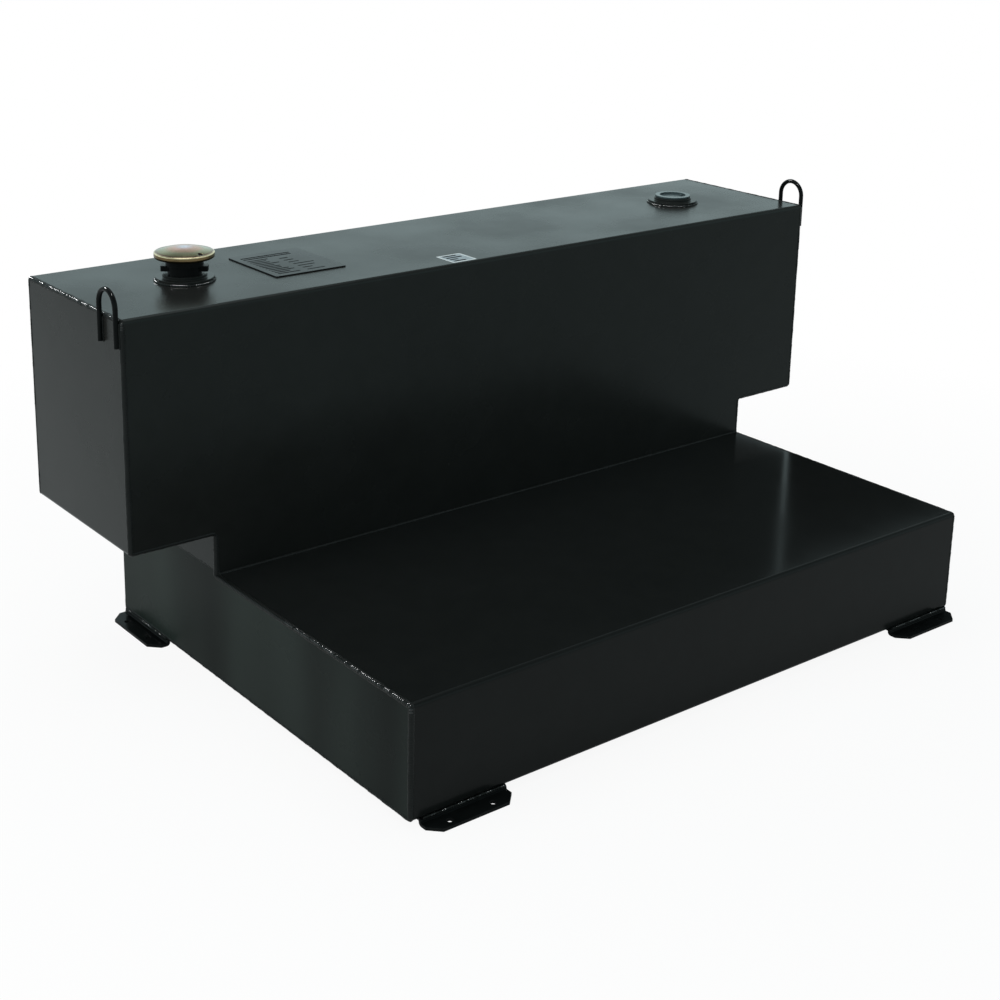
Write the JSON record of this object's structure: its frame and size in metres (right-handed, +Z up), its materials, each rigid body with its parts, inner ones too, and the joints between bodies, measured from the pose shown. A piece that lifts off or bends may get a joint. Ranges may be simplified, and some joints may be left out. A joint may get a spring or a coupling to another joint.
{
  "type": "fuel tank",
  "caption": "Black welded steel fuel transfer tank for a pickup bed, a wide upper box stepped over a low deck, with filler cap, plugged pump port, bolt-down feet and lifting eyes.",
  "frame": {"origin": "bottom centre of the whole tank's box, on the floor under the feet", "axes": "+X to the tank's right as the deck faces the viewer, +Y to the back, +Z up; the deck and front wall face -Y"},
  "size_m": [1.476, 0.867, 0.6794],
  "materials": {
    "shell_paint": "satin black paint over welded sheet steel",
    "bare_steel": "bare oiled sheet",
    "cap_plating": "iridescent yellow chromate over zinc",
    "neck_paint": "satin black paint over a cast neck",
    "plug_finish": "dark satin plug",
    "seal_rubber": "fuel-proof rubber",
    "plate_film": null
  },
  "bodies": {
    "tank": {"upper_wrap": "shell_paint", "upper_end_left": "shell_paint", "upper_end_right": "shell_paint", "lower_shell": "shell_paint", "lower_end_left": "shell_paint", "lower_end_right": "shell_paint", "upper_seam_left": "shell_paint", "upper_seam_right": "shell_paint", "lower_seam_left": "shell_paint", "lower_seam_right": "shell_paint", "rear_bottom_seam": "shell_paint", "deck_seam": "shell_paint", "lifting_eye_left": "shell_paint", "lifting_eye_right": "shell_paint", "foot_front_left": "shell_paint", "foot_front_right": "shell_paint", "foot_back_left": "shell_paint", "foot_back_right": "shell_paint", "filler_flange": "shell_paint", "port_flange": "shell_paint", "filler_flange_weld": "shell_paint", "port_flange_weld": "shell_paint", "upper_baffle_left": "bare_steel", "upper_baffle_right": "bare_steel", "lower_baffle_left": "bare_steel", "lower_baffle_right": "bare_steel", "cross_baffle_left": "bare_steel", "cross_baffle_centre": "bare_steel", "cross_baffle_right": "bare_steel", "filler_neck": "neck_paint", "data_plate": "plate_film"},
    "cap_seal": {"filler_gasket": "seal_rubber"},
    "cap": {"cap_shell": "cap_plating", "cap_plate": "cap_plating", "cap_bayonet": "cap_plating", "vent_valve": "seal_rubber"},
    "plug_seal": {"port_gasket": "seal_rubber"},
    "plug": {"port_plug": "plug_finish"}
  },
  "joints": [
    {"name": "cap_lift", "type": "slide", "parent": "tank", "child": "cap_seal", "axis": [0, 0, 1], "range_m": [0, 0.07]},
    {"name": "cap_turn", "type": "hinge", "parent": "cap_seal", "child": "cap", "pos_m": [-0.536, 0.2725, 0.6642], "axis": [0, 0, 1], "range_deg": [0, 90]},
    {"name": "plug_rise", "type": "slide", "parent": "tank", "child": "plug_seal", "axis": [0, 0, 1], "range_m": [0, 0.0112]},
    {"name": "plug_turn", "type": "hinge", "parent": "plug_seal", "child": "plug", "pos_m": [0.536, 0.2725, 0.6382], "axis": [0, 0, 1], "range_deg": [0, 1800]}
  ],
  "couplings": [
    {"joint": "plug_rise", "follows": "plug_turn", "m_per_rad": 0.00035153}
  ]
}
